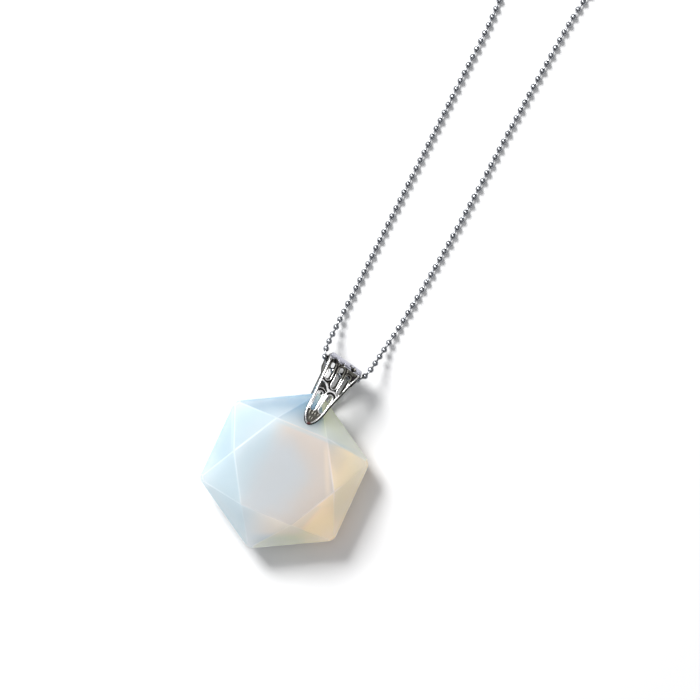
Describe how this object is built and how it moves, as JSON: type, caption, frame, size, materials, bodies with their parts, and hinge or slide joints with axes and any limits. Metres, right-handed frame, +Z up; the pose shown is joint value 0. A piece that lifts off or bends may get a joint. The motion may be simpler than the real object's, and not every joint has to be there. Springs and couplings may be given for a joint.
{
  "type": "opal pendant necklace",
  "caption": "Necklace lying flat: a cut hexagonal opal glass stone pinched by a pierced silver bail, on a closed loop of ball chain with a barrel clasp.",
  "frame": {"origin": "middle of the stone's back table, which lies on the ground", "axes": "+Z up out of the stone's front table, +Y from the stone along the chain to the clasp, +X to the right seen from the front"},
  "size_m": [0.061, 0.2761, 0.013],
  "materials": {
    "opal": "polished milky opal glass, blue to the left and peach to the right",
    "antique_silver": "cast, silvered, with dark hollows and bright raised rims",
    "bead_metal": "polished round beads",
    "wire_metal": "bright wire",
    "clasp_metal": "smooth"
  },
  "bodies": {
    "root": {"stone": "opal", "bail": "antique_silver", "ball_chain": "bead_metal", "chain_wire": "wire_metal", "clasp": "clasp_metal"}
  },
  "joints": []
}
